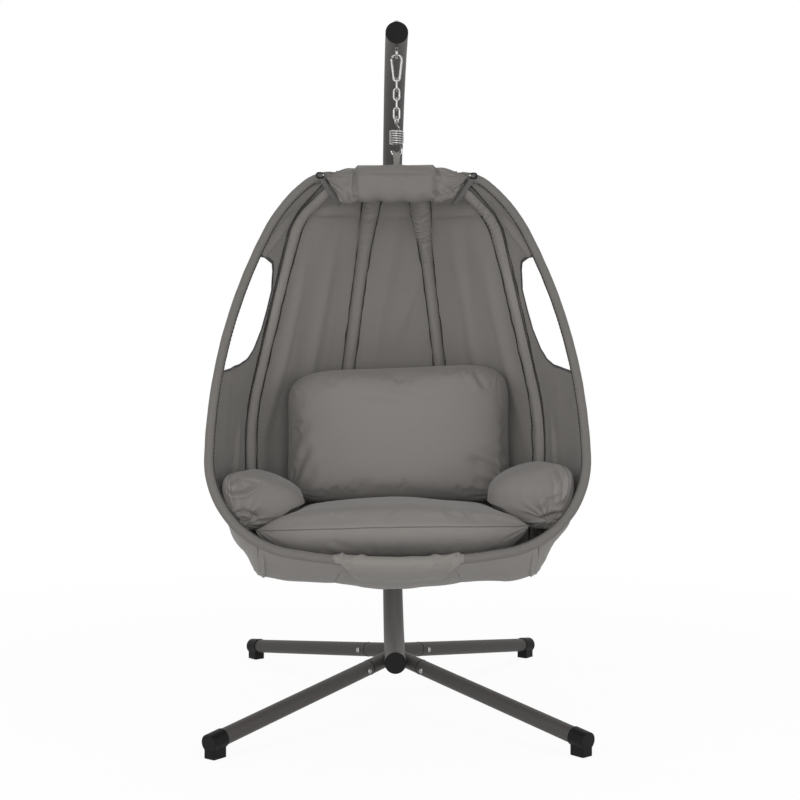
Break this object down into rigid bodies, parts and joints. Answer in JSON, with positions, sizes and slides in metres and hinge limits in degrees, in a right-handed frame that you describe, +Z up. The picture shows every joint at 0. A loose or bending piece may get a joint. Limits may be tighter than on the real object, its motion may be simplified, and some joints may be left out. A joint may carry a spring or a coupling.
{
  "type": "hanging chair",
  "caption": "Egg-shaped hanging chair: a fabric basket with loose cushions on a bent tube frame, hung by a chain and spring from a curved pole on a crossed base.",
  "frame": {"origin": "floor level under the middle of the overall box", "axes": "+Z up, the sitter faces -Y, +X is at the right of a viewer who faces the chair"},
  "size_m": [0.97, 1.243, 1.8713],
  "materials": {
    "tube_paint": "semi-gloss dark grey-brown powder coat",
    "black_plastic": "satin black",
    "zinc": "bright zinc plate",
    "webbing": "woven strap",
    "cover_cloth": "warm grey woven cloth",
    "cushion_cloth": "warm grey woven cloth over soft filling"
  },
  "bodies": {
    "stand": {"pole_lower": "tube_paint", "pole_middle": "tube_paint", "pole_upper": "tube_paint", "pole_fasteners": "zinc", "base_plug": "black_plastic", "arm_plug": "black_plastic", "leg_front_left": "tube_paint", "leg_front_right": "tube_paint", "leg_rear_left": "tube_paint", "leg_rear_right": "tube_paint", "foot_front_left": "black_plastic", "foot_front_right": "black_plastic", "foot_rear_left": "black_plastic", "foot_rear_right": "black_plastic", "leg_fasteners": "zinc"},
    "swivel": {"eye_bolt": "zinc", "eye_washer": "zinc", "eye_nut": "zinc"},
    "hook": {"snap_hook": "zinc", "gate_pin": "zinc"},
    "gate": {"hook_gate": "zinc"},
    "link_1": {"chain_link_1": "zinc"},
    "link_2": {"chain_link_2": "zinc"},
    "link_3": {"chain_link_3": "zinc"},
    "link_4": {"chain_link_4": "zinc"},
    "spring": {"spring": "zinc"},
    "chair": {"top_bar": "tube_paint", "rim_left": "tube_paint", "rim_right": "tube_paint", "rib_inner_left": "tube_paint", "rib_inner_right": "tube_paint", "rib_outer_left": "tube_paint", "rib_outer_right": "tube_paint", "rim_joint": "tube_paint", "buckle_left": "black_plastic", "buckle_right": "black_plastic", "webbing_loop": "webbing", "cover_back_centre": "cover_cloth", "cover_seat_centre": "cover_cloth", "cover_back_left": "cover_cloth", "cover_back_right": "cover_cloth", "cover_seat_left": "cover_cloth", "cover_seat_right": "cover_cloth", "cover_side_left": "cover_cloth", "cover_side_right": "cover_cloth", "rib_sleeve_inner_left": "cover_cloth", "rib_sleeve_inner_right": "cover_cloth", "rib_sleeve_outer_left": "cover_cloth", "rib_sleeve_outer_right": "cover_cloth", "rim_sleeve_left": "cover_cloth", "rim_sleeve_right": "cover_cloth", "seat_cushion": "cushion_cloth", "back_cushion": "cushion_cloth", "arm_bolster_left": "cushion_cloth", "arm_bolster_right": "cushion_cloth", "head_bolster": "cushion_cloth"}
  },
  "joints": [
    {"name": "chair_swivel", "type": "hinge", "parent": "stand", "child": "swivel", "pos_m": [0, -0.32419, 1.77399], "axis": [0, 0, 1], "range_deg": [-180, 180]},
    {"name": "hook_side_swing", "type": "hinge", "parent": "swivel", "child": "hook", "pos_m": [0, -0.32419, 1.77399], "axis": [0, 1, 0], "range_deg": [-8, 8]},
    {"name": "gate_open", "type": "hinge", "parent": "hook", "child": "gate", "pos_m": [-0.00863, -0.32419, 1.72459], "axis": [0, 1, 0], "range_deg": [0, 25], "stiffness_Nm_per_rad": 0.08, "springref_deg": -11.46},
    {"name": "link_1_swing", "type": "hinge", "parent": "hook", "child": "link_1", "pos_m": [0, -0.32419, 1.71154], "axis": [1, 0, 0], "range_deg": [-12, 12]},
    {"name": "link_2_swing", "type": "hinge", "parent": "link_1", "child": "link_2", "pos_m": [0, -0.32419, 1.68659], "axis": [0, 1, 0], "range_deg": [-3, 3]},
    {"name": "link_3_swing", "type": "hinge", "parent": "link_2", "child": "link_3", "pos_m": [0, -0.32419, 1.66089], "axis": [1, 0, 0], "range_deg": [-3, 3]},
    {"name": "link_4_swing", "type": "hinge", "parent": "link_3", "child": "link_4", "pos_m": [0, -0.32419, 1.63519], "axis": [0, 1, 0], "range_deg": [-3, 3]},
    {"name": "spring_swing", "type": "hinge", "parent": "link_4", "child": "spring", "pos_m": [0, -0.32419, 1.60949], "axis": [1, 0, 0], "range_deg": [-3, 3]},
    {"name": "spring_stretch", "type": "slide", "parent": "spring", "child": "chair", "axis": [0, 0, -1], "range_m": [0, 0.035], "stiffness_N_per_m": 25000, "springref_m": -0.01108, "deforming": ["spring"]}
  ]
}
